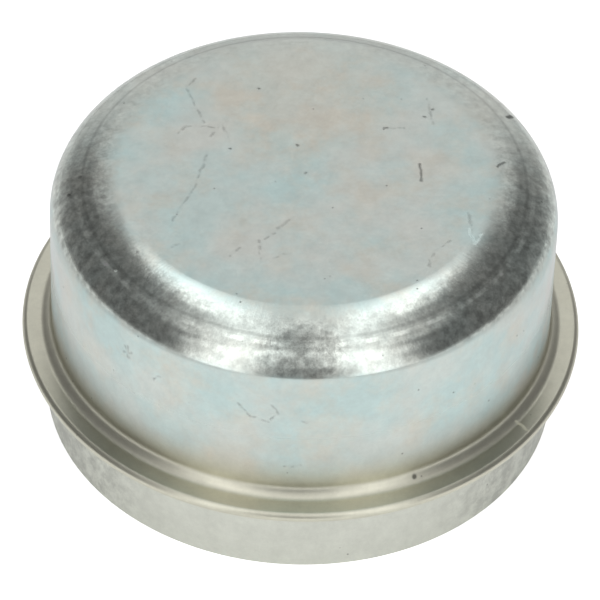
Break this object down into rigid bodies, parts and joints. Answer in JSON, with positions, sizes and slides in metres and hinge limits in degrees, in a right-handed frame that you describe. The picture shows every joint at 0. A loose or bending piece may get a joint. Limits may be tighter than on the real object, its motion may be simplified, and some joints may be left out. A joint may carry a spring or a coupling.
{
  "type": "hub grease cap",
  "caption": "Round drawn sheet steel cap with a flat crown, a round shoulder, a straight wall, a folded flange and a short press-in skirt, open underneath.",
  "frame": {"origin": "centre of the circle that the lower edge of the skirt stands on", "axes": "+Z along the cap's axis, from the open skirt up to the closed crown; the cap is round, so X and Y are any two directions across it"},
  "size_m": [0.071, 0.071, 0.0357],
  "materials": {
    "zinc_plate": "bright zinc plate on drawn steel sheet, softly mottled, with fine draw marks and light scratches"
  },
  "bodies": {
    "root": {"grease_cap": "zinc_plate"}
  },
  "joints": []
}
